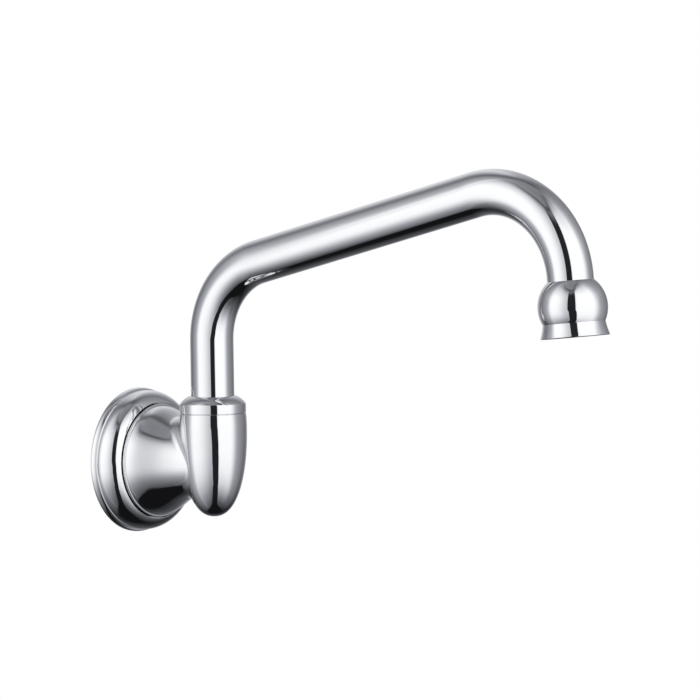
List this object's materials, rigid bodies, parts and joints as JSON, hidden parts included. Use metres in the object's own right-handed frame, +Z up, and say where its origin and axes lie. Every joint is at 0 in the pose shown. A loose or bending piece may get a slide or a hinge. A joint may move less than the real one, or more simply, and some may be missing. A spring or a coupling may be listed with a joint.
{
  "type": "wall-mounted swivel spout faucet",
  "caption": "Chrome wall spout: round escutcheon, flared neck into a bullet-shaped swivel body, rising bent tube and a ball-and-bell outlet with aerator.",
  "frame": {"origin": "centre of the escutcheon's wall face, on the axis of the inlet thread", "axes": "+X away from the wall along the neck and, at rest, the spout; +Z up along the riser; Y across"},
  "size_m": [0.3037, 0.0742, 0.1836],
  "materials": {
    "chrome": "mirror-polished chrome plate",
    "brass": "as turned",
    "black_rubber": "matte",
    "foam": "closed-cell foam",
    "acetal": "moulded",
    "white_plastic": "moulded",
    "steel": "woven mesh"
  },
  "bodies": {
    "housing": {"body": "chrome", "escutcheon": "chrome", "wall_gasket": "foam", "seat_gasket": "black_rubber", "inlet_nipple": "brass", "collar_nut": "chrome", "guide_bush": "acetal", "upper_slip_washer": "acetal", "lower_slip_washer": "acetal"},
    "spout": {"spout_tube": "chrome", "swivel_spigot": "brass", "upper_o_ring": "black_rubber", "lower_o_ring": "black_rubber", "outlet_bell": "chrome", "aerator_washer": "black_rubber", "aerator_shell": "chrome", "aerator_screen": "steel", "jet_plate": "white_plastic", "outlet_grid": "white_plastic"}
  },
  "joints": [
    {"name": "spout_swivel", "type": "hinge", "parent": "housing", "child": "spout", "pos_m": [0.0505, 0, 0.034], "axis": [0, 0, 1], "range_deg": [-95, 95]}
  ]
}
